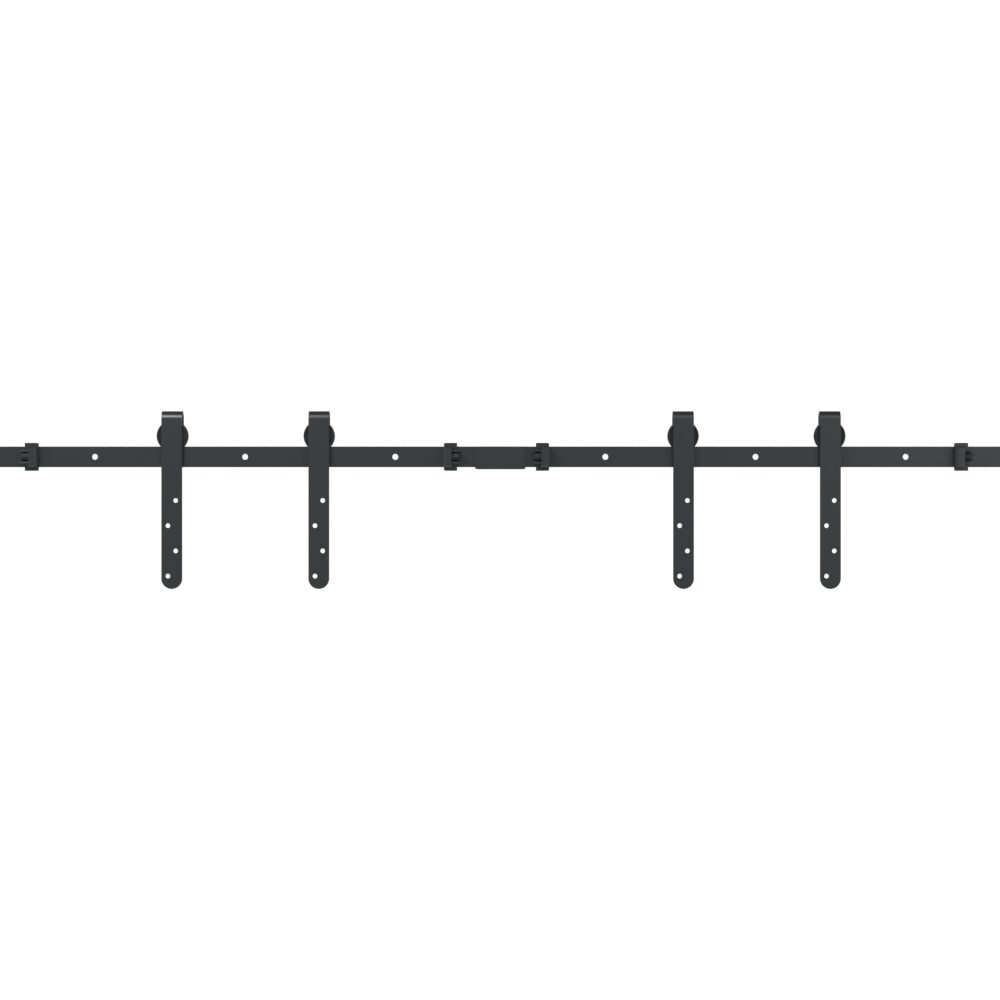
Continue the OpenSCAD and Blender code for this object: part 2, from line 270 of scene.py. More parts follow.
def rounded(points, radius, steps=3):
    """A closed outline with its corners turned into arcs.

    A third number in a point is that corner's own radius.
    """
    made = []
    for before, point, after in zip(points[-1:] + points[:-1], points, points[1:] + points[:1]):
        corner = Vector(point[:2])
        to_before = Vector(before[:2]) - corner
        to_after = Vector(after[:2]) - corner
        bend = to_before.angle(to_after)
        size = point[2] if len(point) > 2 else radius
        reach = min(size / math.tan(bend / 2), 0.45 * to_before.length, 0.45 * to_after.length)
        size = reach * math.tan(bend / 2)
        if size < SMALLEST_ROUND or bend > STRAIGHT:
            made.append(tuple(corner))
            continue
        middle_way = (to_before.normalized() + to_after.normalized()).normalized()
        centre = corner + middle_way * (size / math.sin(bend / 2))
        first = corner + to_before.normalized() * reach - centre
        last = corner + to_after.normalized() * reach - centre
        sweep = first.angle_signed(last)
        for k in range(steps + 1):
            made.append(tuple(centre + Matrix.Rotation(-sweep * k / steps, 2) @ first))
    return made


def inward(loop):
    """For each point of a loop, the step into the material for an offset of one."""
    steps = []
    for before, point, after in zip(loop[-1:] + loop[:-1], loop, loop[1:] + loop[:1]):
        came = (Vector(point) - Vector(before)).normalized()
        goes = (Vector(after) - Vector(point)).normalized()
        left = Vector((-came.y - goes.y, came.x + goes.x))
        steps.append(left / (1 + came.dot(goes)))
    return steps


def hex_radius(angle, across_flats, cut=0):
    """The radius of a hexagon at an angle. One corner is at angle 0, and cut is turned off each corner."""
    off = math.remainder(angle - math.pi / 6, math.pi / 3)
    return min(across_flats / 2 / math.cos(off), across_flats / 2 / math.cos(math.pi / 6) - cut)


# ---- Solids ----


def strip(bm, first, second):
    """Joins two closed rings of vertices with faces. A ring of one vertex makes a fan."""
    count = max(len(first), len(second))
    for k in range(count):
        corners = [first[k % len(first)], first[(k + 1) % len(first)]]
        corners += [second[(k + 1) % len(second)], second[k % len(second)]]
        face = list(dict.fromkeys(corners))
        if len(face) > 2:
            bm.faces.new(face)


def edge_levels(near, far, edge, steps=3):
    """Steps through a plate whose edges are rounded: how far the outline has shrunk, and the depth."""
    turns = [k / steps * math.pi / 2 for k in range(steps + 1)]
    levels = [(edge * (1 - math.sin(turn)), edge * (1 - math.cos(turn))) for turn in turns]
    opening = [(inset, near + depth) for inset, depth in levels]
    return opening + [(inset, far - depth) for inset, depth in reversed(levels)]


def plate(bm, loops, levels):
    """A flat plate in X and Z. The first loop runs anticlockwise and each hole clockwise.

    levels holds one list for each loop, all between the same two depths.
    """
    faces = ([], [])
    for loop, steps in zip(loops, levels):
        into = inward(loop)
        rings = [
            [bm.verts.new((p[0] + n.x * inset, depth, p[1] + n.y * inset)) for p, n in zip(loop, into)]
            for inset, depth in steps
        ]
        for first, second in zip(rings, rings[1:]):
            strip(bm, first, second)
        faces[0].append(rings[0])
        faces[1].append(rings[-1])
    for rings in faces:
        flat = [vertex for ring in rings for vertex in ring]
        points = [[Vector((v.co.x, v.co.z, 0)) for v in ring] for ring in rings]
        for triangle in tessellate_polygon(points):
            bm.faces.new([flat[k] for k in triangle])


def turned(bm, section, steps=96):
    """A solid turned about the Y axis.

    section is a list of (radius, y), or a function of the angle that gives one.
    """
    columns = []
    for k in range(steps):
        angle = 2 * math.pi * k / steps
        column = section(angle) if callable(section) else section
        columns.append([(r * math.cos(angle), y, r * math.sin(angle), r) for r, y in column])
    rings = []
    for points in zip(*columns):
        on_axis = all(point[3] < 1e-9 for point in points)
        rings.append([bm.verts.new(point[:3]) for point in (points[:1] if on_axis else points)])
    pairs = list(zip(rings, rings[1:]))
    if len(rings[0]) > 1 and len(rings[-1]) > 1:
        pairs.append((rings[-1], rings[0]))
    for first, second in pairs:
        if len(first) > 1 or len(second) > 1:
            strip(bm, first, second)


def hex_prism(angle, height, across_flats):
    """Half section of a bolt's hexagon or of a nut at one angle, with both faces chamfered."""
    radius = hex_radius(angle, across_flats, CORNER_CUT)
    face = across_flats / 2 * FACE_SHARE
    drop = (radius - face) * math.tan(CHAMFER)
    return [(face, 0), (radius, drop), (radius, height - drop), (face, height)]


def thread(angle, start, end, radius, pitch, depth):
    """The crests and roots of a screw thread at one angle, along Y, fading out at both ends."""
    points = []
    count = max(4, round((end - start) / pitch * 6))
    for k in range(count + 1):
        y = start + (end - start) * k / count
        wave = abs(2 * ((y / pitch + angle / (2 * math.pi)) % 1) - 1)
        fade = min(1, (y - start) / pitch, (end - y) / pitch)
        points.append((radius - depth * (1 - wave) * max(0, fade), y))
    return points


def shape(name, build, transform=Matrix()):
    """A mesh from a function that fills a bmesh, moved by transform and shaded smooth up to its edges."""
    bm = bmesh.new()
    build(bm)
    bmesh.ops.remove_doubles(bm, verts=bm.verts, dist=1e-7)
    bmesh.ops.recalc_face_normals(bm, faces=bm.faces)
    bm.transform(transform)
    mesh = bpy.data.meshes.new(name)
    bm.to_mesh(mesh)
    bm.free()
    mesh.polygons.foreach_set("use_smooth", [True] * len(mesh.polygons))
    mesh.set_sharp_from_angle(angle=SMOOTH_ANGLE)
    return mesh


def keep_flats_flat(piece):
    """Shades each vertex by its largest faces, so that a flat face stays flat beside a rounded edge."""
    weigh = piece.modifiers.new("Weighted normals", "WEIGHTED_NORMAL")
    weigh.keep_sharp = True


def fit(name, mesh, location, key, body, node):
    """Puts a finished piece in place of a CAD node."""
    mesh.materials.append(finish(key))
    piece = bpy.data.objects.new(name, mesh)
    bpy.context.scene.collection.objects.link(piece)
    piece.location = location
    keep_flats_flat(piece)
    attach(piece, body)
    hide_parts(node)
    return piece


def dress(node, key, edge):
    """Gives a CAD node that keeps its shape its material and rounded edges."""
    piece = frame["nodes"][node]
    piece.data.materials.clear()
    piece.data.materials.append(finish(key))
    weld = piece.modifiers.new("Weld", "WELD")
    weld.merge_threshold = 0.001 * MM
    bevel = piece.modifiers.new("Rounded edges", "BEVEL")
    bevel.width = edge
    bevel.segments = 3
    bevel.limit_method = "ANGLE"
    bevel.angle_limit = math.radians(35)
    keep_flats_flat(piece)


def middle(node):
    """The middle of a CAD node's box."""
    low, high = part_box(node)
    return (low + high) / 2


def mount_holes(name):
    """The centres of a bolt pattern's two holes, in X and Z, and their radius."""
    mount = MOUNTS[name]
    dims = mount["dims"]
    x, _, z = mount["pos_m"]
    half_x = dims.get("spacing_x_mm", 0) / 2 * MM
    half_z = dims.get("spacing_y_mm", 0) / 2 * MM
    return [(x - half_x, z - half_z), (x + half_x, z + half_z)], dims["hole_r_mm"] * MM


# ---- Settings ----


def colour_property(name, description, hex_colour):
    """A colour for the panel."""
    return bpy.props.FloatVectorProperty(
        name=name, description=description, subtype="COLOR", size=4, min=0, max=1, default=linear(hex_colour)
    )


def length_property(name, description, millimetres, lowest=0.0):
    """A length for the panel, given in millimetres."""
    return bpy.props.FloatProperty(
        name=name,
        description=description,
        default=millimetres * MM,
        min=lowest,
        subtype="DISTANCE",
        unit="LENGTH",
        precision=5,
    )


def power_property(name, description, watts):
    """The power of a lamp for the panel."""
    return bpy.props.FloatProperty(name=name, description=description, default=watts, min=0, unit="POWER")


class BARN_PG_finish(bpy.types.PropertyGroup):
    coat: colour_property("Powder coat", "Satin coat on the rails, straps, stops and axle heads", "#292c2e")
    nylon: colour_property("Wheel nylon", "Black nylon of the wheels", "#25282a")
    rubber: colour_property("Rubber", "Stop buffers and bearing seals", "#434649")
    black_zinc: colour_property("Black zinc", "Plating on bolts, nuts and set screws", "#4c4f51")
    bright_zinc: colour_property("Bright zinc", "Plating on the axle sleeves and washers", "#b9bdc0")
    bearing_steel: colour_property("Bearing steel", "Races and balls", "#d2d4d6")


class BARN_PG_edges(bpy.types.PropertyGroup):
    bar: length_property("Bar edge", "Rounding of the rolled bar and of the straps", 0.4)
    block: length_property("Block edge", "Rounding of the stops and the connector", 0.45)
    rubber: length_property("Rubber edge", "Rounding of the rubber buffers", 0.5)
    turned: length_property("Turned edge", "Rounding of turned parts", 0.35)
    wheel: length_property("Wheel edge", "Rounding of the wheel's rims", 0.5)


class BARN_PG_details(bpy.types.PropertyGroup):
    back_leg_drop: length_property("Back leg", "How far the strap's back leg reaches below the axle", 18)
    axle_pitch: length_property("Axle pitch", "Pitch of the axle bolt's thread", 1.5)
    stop_head: length_property("Stop bolt head", "Size of the stop bolt's head across its flats", 16)
    stop_pitch: length_property("Stop bolt pitch", "Pitch of the stop bolt's thread", 1.5)
    screw_pitch: length_property("Set screw pitch", "Pitch of the set screws' threads", 1.0)
    bend_cuts: bpy.props.IntProperty(
        name="Bend cuts", description="Steps round the hook", default=48, min=8, max=96
    )


class BARN_PG_stage(bpy.types.PropertyGroup):
    distance: length_property("Camera distance", "From the camera to the rail's front", 5080)
    span: length_property("Span", "Width of the view at the rail's front", 1937)
    aim_x: length_property("Aim X", "Camera's place along the rail", -0.6, lowest=-1.0)
    aim_z: length_property("Aim Z", "Camera's height above the rail's middle", -83.6, lowest=-1.0)
    floor_drop: length_property("Floor", "How far the floor lies below the rail", 1750)
    room_light: bpy.props.FloatProperty(
        name="Room light", description="Brightness of the soft light all round", default=0.35, min=0
    )
    room_bounce: bpy.props.FloatProperty(
        name="Bounce", description="How much of the room light comes from below", default=0.7, min=0, max=1
    )
    key_power: power_property("Key light", "Power of the light at the upper left", 14.5)
    strip_power: power_property("Strip light", "Power of the long light above", 6.5)
    fill_power: power_property("Fill light", "Power of the light at the right", 4.5)


# ---- The track ----


class BARN_OT_rails(bpy.types.Operator):
    """The two flat bars, with rounded edges and deburred wall holes"""

    bl_idname = "barn.rails"
    bl_label = "Rails"

    def execute(self, context):
        centres = []
        for name in ("wall_holes_inner", "wall_holes_middle", "wall_holes_outer"):
            pair, radius = mount_holes(name)
            centres += pair
        edge = context.scene.barn_edges.bar
        for side in ("left", "right"):
            node = "rail_" + side
            low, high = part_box(node)
            corners = [(low.x, low.z), (high.x, low.z), (high.x, high.z), (low.x, high.z)]
            holes = [hole(centre, radius) for centre in centres if low.x < centre[0] < high.x]
            loops = [rounded(corners, edge), *holes]
            levels = [edge_levels(low.y, high.y, edge)] * len(loops)
            mesh = shape("flat_bar_" + side, lambda bm: plate(bm, loops, levels))
            fit("flat_bar_" + side, mesh, (0, 0, 0), "coat", "track", node)
        return {"FINISHED"}


class BARN_OT_blocks(bpy.types.Operator):
    """The connector and the four stop bodies keep their shape and get rounded, coated edges"""

    bl_idname = "barn.blocks"
    bl_label = "Connector and stops"

    def execute(self, context):
        edges = context.scene.barn_edges
        dress("rail_connector", "coat", edges.block)
        for place in PLACES:
            dress("stop_body_" + place, "coat", edges.block)
            dress("stop_buffer_" + place, "rubber", edges.rubber)
        return {"FINISHED"}


class BARN_OT_stop_bolts(bpy.types.Operator):
    """The long hexagon bolts of the stops, with a chamfered head, a washer face and a thread"""

    bl_idname = "barn.stop_bolts"
    bl_label = "Stop bolts"

    def execute(self, context):
        details = context.scene.barn_details
        edge = context.scene.barn_edges.turned
        flats = details.stop_head
        # The washer face's thickness and radius, then the shank's length, radius and chamfered tip
        face, rim = 0.8 * MM, 7.8 * MM
        shank, radius, tip = 12.4 * MM, 5 * MM, 1 * MM
        # The unthreaded length under the head, the thread's depth, and the shallow dish in the head
        plain, groove = 1.5 * MM, 0.75 * MM
        dish = [(0, 0.5 * MM), (flats * 0.3, 0.4 * MM)]
        for index, place in enumerate(PLACES):
            low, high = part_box("stop_bolt_" + place)
            length = high.x - low.x
            head = length - shank - face
            under = head + face

            def section(angle):
                points = dish + hex_prism(angle, head, flats)[:3]
                points += [(hex_radius(angle, flats, CORNER_CUT), head), (rim, head)]
                points += [(rim, under - edge), (rim - edge, under), (radius, under)]
                points += thread(angle, under + plain, length - tip, radius, details.stop_pitch, groove)
                return points + [(radius - tip, length), (0, length)]

            toward = 1 if index % 2 == 0 else -1
            turn = Matrix.Rotation(-toward * math.pi / 2, 4, "Z")
            name = "stop_hex_bolt_" + place
            mesh = shape(name, lambda bm: turned(bm, section, steps=72), turn)
            start = low.x if toward > 0 else high.x
            centre = (start, (low.y + high.y) / 2, (low.z + high.z) / 2)
            fit(name, mesh, centre, "black_zinc", "track", "stop_bolt_" + place)
        return {"FINISHED"}


def grub_screw(bm, radius, length, pitch, transform):
    """Adds a threaded set screw along Y, its cup point at y = 0 and its hexagon socket at the far end."""
    # Depths of the cup, of the thread, of the socket and of its drill point, and the unthreaded end
    cup, groove, socket, drill, land = 0.5 * MM, 0.5 * MM, 3 * MM, 0.4 * MM, 0.4 * MM
    floor = length - socket

    def section(angle):
        inside = hex_radius(angle, radius)
        points = [(0, cup), (radius * 0.4, 0), (radius * 0.62, 0)]
        points += thread(angle, cup, length - land, radius, pitch, groove)
        points += [(radius - groove, length), (inside + 0.15 * MM, length), (inside, length - 0.2 * MM)]
        return points + [(inside, floor), (0, floor - drill)]

    before = set(bm.verts)
    turned(bm, section, steps=48)
    bmesh.ops.transform(bm, matrix=transform, verts=[v for v in bm.verts if v not in before])


class BARN_OT_set_screws(bpy.types.Operator):
    """The socket set screws of the connector and of the stops"""

    bl_idname = "barn.set_screws"
    bl_label = "Set screws"

    def execute(self, context):
        pitch = context.scene.barn_details.screw_pitch
        connector_pitch = pitch * 0.8
        low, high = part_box("connector_set_screws")
        radius = (high.z - low.z) / 2
        first, last, apart = low.x + radius, high.x - radius, 20 * MM

        def connector_screws(bm):
            for x in (first, first + apart, last - apart, last):
                spot = Matrix.Translation((x, low.y, 0))
                grub_screw(bm, radius, high.y - low.y, connector_pitch, spot)

        name = "connector_grub_screws"
        mesh = shape(name, connector_screws)
        fit(name, mesh, (0, 0, 0), "black_zinc", "track", "connector_set_screws")

        low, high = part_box("stop_set_screws")
        depth = (low.y + high.y) / 2
        size = (high.y - low.y) / 2
        rail_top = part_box("rail_left")[1].z
        length = high.z - rail_top
        # From the stop's face towards the wheel to each pair of screws
        steps = (6.2 * MM, 17.2 * MM)

        def stop_screws(bm):
            for index, place in enumerate(PLACES):
                body_low, body_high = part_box("stop_body_" + place)
                toward = 1 if index % 2 == 0 else -1
                front = body_high.x if toward > 0 else body_low.x
                for step in steps:
                    for side in (1, -1):
                        upright = Matrix.Rotation(side * math.pi / 2, 4, "X")
                        spot = Matrix.Translation((front - toward * step, depth, side * rail_top))
                        grub_screw(bm, size, length, pitch, spot @ upright)

        name = "stop_grub_screws"
        mesh = shape(name, stop_screws)
        fit(name, mesh, (0, 0, 0), "black_zinc", "track", "stop_set_screws")
        return {"FINISHED"}


# ---- The hangers ----


def fold(bm, low, high, thickness, cuts):
    """Bends a flat blank over the wheel. It lies in X and Z from z = 0, its outer face at y = 0."""
    outer = (high.y - low.y) / 2
    neutral = outer - thickness / 2
    bend_from = high.z - outer - low.z
    bend_length = math.pi * neutral
    for k in range(cuts + 1):
        level = Vector((0, 0, bend_from + bend_length * k / cuts))
        geometry = [*bm.verts, *bm.edges, *bm.faces]
        bmesh.ops.bisect_plane(bm, geom=geometry, dist=1e-7, plane_co=level, plane_no=(0, 0, 1))
    centre = Vector((0, low.y + outer, high.z - outer))
    for vertex in bm.verts:
        depth, along = vertex.co.y, vertex.co.z - bend_from
        radius = outer - depth
        if along <= 0:
            vertex.co.y, vertex.co.z = low.y + depth, centre.z + along
        elif along < bend_length:
            turn = along / neutral
            vertex.co.y, vertex.co.z = centre.y - radius * math.cos(turn), centre.z + radius * math.sin(turn)
        else:
            vertex.co.y, vertex.co.z = centre.y + radius, centre.z - (along - bend_length)


class BARN_OT_straps(bpy.types.Operator):
    """The four straps, each bent from a flat blank with round ends, door bolt holes and a countersunk hole"""

    bl_idname = "barn.straps"
    bl_label = "Straps"

    def execute(self, context):
        edge = context.scene.barn_edges.bar
        details = context.scene.barn_details
        # The axle's hole, and the gap round its head
        bolt_radius, gap = 5.1 * MM, 0.1 * MM
        for place in PLACES:
            low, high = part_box("strap_" + place)
            axle = middle("axle_bolt_" + place)
            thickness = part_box("axle_spacers_" + place)[0].y - low.y
            head_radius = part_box("axle_bolt_" + place)[1].x - axle.x + gap
            outer = (high.y - low.y) / 2
            half = (high.x - low.x) / 2
            bend_from = high.z - outer - low.z
            bend_length = math.pi * (outer - thickness / 2)
            back_length = high.z - outer - axle.z + details.back_leg_drop
            length = bend_from + bend_length + back_length
            outline = arc((axle.x, half), half, 180, 360, 48) + arc((axle.x, length - half), half, 0, 180, 48)
            loops = [outline]
            for column in "ab":
                centres, radius = mount_holes(f"door_holes_{place}_{column}")
                loops += [hole((x, z - low.z), radius) for x, z in centres]
            front_hole = (axle.x, axle.z - low.z)
            back_hole = (axle.x, bend_from + bend_length + high.z - outer - axle.z)
            loops += [hole(back_hole, bolt_radius, 64), hole(front_hole, bolt_radius, 64)]
            plain = edge_levels(0, thickness, edge)
            sink = head_radius - bolt_radius
            countersunk = [(sink + gap, 0), (sink, gap), (0, sink), *plain[-2:]]

            def blank(bm):
                plate(bm, loops, [plain] * (len(loops) - 1) + [countersunk])
                fold(bm, low, high, thickness, details.bend_cuts)

            name = "bent_strap_" + place
            mesh = shape(name, blank)
            fit(name, mesh, (0, 0, 0), "coat", "hanger_" + place, "strap_" + place)
        return {"FINISHED"}


class BARN_OT_axles(bpy.types.Operator):
    """The axle bolts with flush heads and threaded ends, their chamfered nuts, sleeves and washers"""

    bl_idname = "barn.axles"
    bl_label = "Axles"

    def execute(self, context):
        edge = context.scene.barn_edges.turned
        pitch = context.scene.barn_details.axle_pitch
        # The axle bolt's radius, where its thread starts, its chamfered tip, and the thread's depth
        radius, thread_from, tip, groove = 5 * MM, 30 * MM, 1 * MM, 0.75 * MM
        head_land = 0.15 * MM
        # The nut's bore, and the chamfer at its mouths
        bore, lead = 5.05 * MM, 0.6 * MM
        for place in PLACES:
            body = "hanger_" + place
            low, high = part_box("axle_bolt_" + place)
            axle = (low + high) / 2
            length = high.y - low.y
            head = (high.x - low.x) / 2

            def bolt(angle):
                points = [(0, 0), (head - edge, 0), (head, head_land), (head, edge)]
                points += [(radius, head - radius + edge)]
                points += thread(angle, thread_from, length - tip, radius, pitch, groove)
                return points + [(radius - tip, length), (0, length)]

            name = "axle_screw_" + place
            mesh = shape(name, lambda bm: turned(bm, bolt, steps=72))
            fit(name, mesh, (axle.x, low.y, axle.z), "coat", body, "axle_bolt_" + place)

            nut_low, nut_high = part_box("axle_nut_" + place)
            thick = nut_high.y - nut_low.y
            flats = nut_high.z - nut_low.z

            def nut(angle):
                points = hex_prism(angle, thick, flats)
                points += [(bore + lead, thick), (bore, thick - lead)]
                return points + [(bore, lead), (bore + lead, 0)]

            name = "axle_hex_nut_" + place
            mesh = shape(name, lambda bm: turned(bm, nut, steps=72))
            spot = (axle.x, nut_low.y, axle.z)
            fit(name, mesh, spot, "black_zinc", body, "axle_nut_" + place)
            self.sleeves(place, body, axle, edge)
        return {"FINISHED"}

    def sleeves(self, place, body, axle, edge):
        """Two sleeves between the strap's legs and the inner race, and the washer under the nut."""
        low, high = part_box("axle_spacers_" + place)
        race_low, race_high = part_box("inner_race_" + place)
        strap_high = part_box("strap_" + place)[1].y
        thickness = low.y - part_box("strap_" + place)[0].y
        washer = (high.x - low.x) / 2
        bore, sleeve = 5.1 * MM, 7.5 * MM
        rings = [
            (low.y, race_low.y, sleeve),
            (race_high.y, strap_high - thickness, sleeve),
            (strap_high, high.y, washer),
        ]

        def build(bm):
            for near, far, reach in rings:
                section = rounded([(bore, near), (reach, near), (reach, far), (bore, far)], edge)
                turned(bm, section)

        name = "axle_sleeves_" + place
        mesh = shape(name, build)
        fit(name, mesh, (axle.x, 0, axle.z), "bright_zinc", body, "axle_spacers_" + place)


# ---- The wheels ----


class BARN_OT_wheels(bpy.types.Operator):
    """The grooved wheels, with rounded flanges, a dished web, a bearing seat and a snap ring groove"""

    bl_idname = "barn.wheels"
    bl_label = "Wheels"

    def execute(self, context):
        edge = context.scene.barn_edges.wheel
        # Radii of the hub's bore and of the snap ring's groove, and the rounding of the bearing seat
        hub, bead, small = 11.5 * MM, 13.8 * MM, 0.2 * MM
        # The dished web's depth and radii, and the chamfer of the rims
        dish, slope = 1.5 * MM, 1.2 * MM
        web = (15.2 * MM, 15.8 * MM, 25.2 * MM, 25.8 * MM)
        # Half the groove's width at the rim and at the tread, and the gap between the tread and the rail
        mouth, foot, roll_gap = 4.7 * MM, 3.7 * MM, 0.3 * MM
        for place in PLACES:
            low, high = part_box("wheel_" + place)
            race_low, race_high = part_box("outer_race_" + place)
            centre = (low + high) / 2
            rim = (high.x - low.x) / 2
            half = (high.y - low.y) / 2
            tread = centre.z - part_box("rail_left")[1].z - roll_gap
            seat = (race_high.x - race_low.x) / 2
            race = (race_high.y - race_low.y) / 2
            ring_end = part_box("retaining_ring_" + place)[1].y - centre.y
            outside = [
                (web[0], half), (web[1], half - dish), (web[2], half - dish), (web[3], half),
                (rim - slope, half), (rim, half - slope), (rim, mouth), (tread, foot),
            ]
            near_side = [(radius, -y) for radius, y in outside]
            inside = [
                (seat, half), (seat, ring_end), (bead, ring_end), (bead, race), (seat, race),
                (seat, -race), (hub, -race),
            ]
            bearing_seat = [(radius, y, small) for radius, y in inside]
            section = rounded([(hub, -half), *near_side, *reversed(outside), *bearing_seat], edge)
            name = "grooved_wheel_" + place
            mesh = shape(name, lambda bm: turned(bm, section, steps=144))
            fit(name, mesh, centre, "nylon", "rolling_wheel_" + place, "wheel_" + place)
        return {"FINISHED"}


class BARN_OT_bearings(bpy.types.Operator):
    """The ball bearings: grooved races, seven balls and two lipped rubber seals"""

    bl_idname = "barn.bearings"
    bl_label = "Bearings"

    def execute(self, context):
        edge = 0.3 * MM
        # Radii: of the balls' path, a ball, the groove's section, the outer ring's inside and the bore
        path, ball, groove = 9 * MM, 2.38 * MM, 2.48 * MM
        outer_rim, bore = 10.5 * MM, 5.02 * MM
        for place in PLACES:
            hanger_body, wheel_body = "hanger_" + place, "rolling_wheel_" + place
            centre = middle("outer_race_" + place)
            low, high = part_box("outer_race_" + place)
            half = (high.y - low.y) / 2
            outer = (high.x - low.x) / 2
            low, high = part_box("inner_race_" + place)
            inner_rim = (high.x - low.x) / 2
            reach = math.degrees(math.acos((outer_rim - path) / groove))
            outside = arc((path, 0), groove, reach, -reach, 20)
            reach = math.degrees(math.acos((path - inner_rim) / groove))
            inside = arc((path, 0), groove, 180 + reach, 180 - reach, 20)

            corners = [(outer_rim, -half), (outer, -half), (outer, half), (outer_rim, half)]
            section = rounded([(radius, y, edge) for radius, y in corners] + outside, 0)
            name = "outer_ring_" + place
            mesh = shape(name, lambda bm: turned(bm, section))
            fit(name, mesh, centre, "bearing_steel", wheel_body, "outer_race_" + place)

            corners = [(inner_rim, half), (bore, half), (bore, -half), (inner_rim, -half)]
            section = rounded([(radius, y, edge) for radius, y in corners] + inside, 0)
            name = "inner_ring_" + place
            mesh = shape(name, lambda bm: turned(bm, section))
            fit(name, mesh, centre, "bearing_steel", hanger_body, "inner_race_" + place)

            name = "ball_set_" + place
            mesh = shape(name, lambda bm: self.balls(bm, path, ball))
            fit(name, mesh, centre, "bearing_steel", wheel_body, "bearing_balls_" + place)

            name = "rubber_seals_" + place
            mesh = shape(name, lambda bm: self.seals(bm, inner_rim, outer_rim, half))
            fit(name, mesh, centre, "rubber", wheel_body, "bearing_seals_" + place)
        return {"FINISHED"}

    def balls(self, bm, path, radius, count=7):
        """A circle of balls about the axle."""
        for k in range(count):
            spot = Matrix.Rotation(k * 2 * math.pi / count, 4, "Y") @ Matrix.Translation((path, 0, 0))
            bmesh.ops.create_uvsphere(bm, u_segments=32, v_segments=20, radius=radius, matrix=spot)

    def seals(self, bm, inner_rim, outer_rim, half):
        """Two flat rings, thicker outside a lip that rides just clear of the inner ring."""
        lip = inner_rim + 0.2 * MM
        face = half - 0.4 * MM
        back = face - 0.5 * MM
        section = [
            (lip, face - 0.3 * MM), (lip + 0.7 * MM, back), (outer_rim, back), (outer_rim, face),
            (lip + 1.2 * MM, face), (lip + 0.9 * MM, face - 0.15 * MM), (lip, face - 0.1 * MM),
        ]
        for side in (1, -1):
            turned(bm, rounded([(r, side * y) for r, y in section], 0.08 * MM, 2))


class BARN_OT_snap_rings(bpy.types.Operator):
    """The snap rings that keep the bearings in the wheels, each with two eyes for the pliers"""

    bl_idname = "barn.snap_rings"
    bl_label = "Snap rings"

    def execute(self, context):
        # Half the ring's gap, and how far round each eye's swelling reaches
        gap, eye_reach = math.radians(9), math.radians(24)
        body_width, eye_depth = 1.7 * MM, 2.0 * MM
        # An eye's hole: how far in it lies, its radius, and how far round from the gap
        eye_in, eye_radius, eye_turn = 1.9 * MM, 0.75 * MM, math.radians(9)
        slack, edge, steps = 0.05 * MM, 0.12 * MM, 96
        for place in PLACES:
            low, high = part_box("retaining_ring_" + place)
            axle = middle("outer_race_" + place)
            outer = (high.x - low.x) / 2 - slack

            def at(radius, angle):
                return (radius * math.sin(angle), -radius * math.cos(angle))

            def inner_radius(angle):
                near = min(angle, 2 * math.pi - angle) - gap
                eye = max(0, 1 - (near / eye_reach) ** 2) if near < eye_reach else 0
                return outer - body_width - eye_depth * eye**0.5

            angles = [gap + (2 * math.pi - 2 * gap) * k / steps for k in range(steps + 1)]
            outline = [at(outer, a) for a in angles] + [at(inner_radius(a), a) for a in reversed(angles)]
            eyes = [at(outer - eye_in, sign * (gap + eye_turn)) for sign in (1, -1)]
            loops = [outline, *[hole(eye, eye_radius, 24) for eye in eyes]]
            levels = [edge_levels(low.y, high.y, edge, 2)] * len(loops)
            name = "snap_ring_" + place
            mesh = shape(name, lambda bm: plate(bm, loops, levels))
            spot = (axle.x, 0, axle.z)
            wheel_body = "rolling_wheel_" + place
            fit(name, mesh, spot, "black_zinc", wheel_body, "retaining_ring_" + place)
        return {"FINISHED"}


# ---- The stage ----


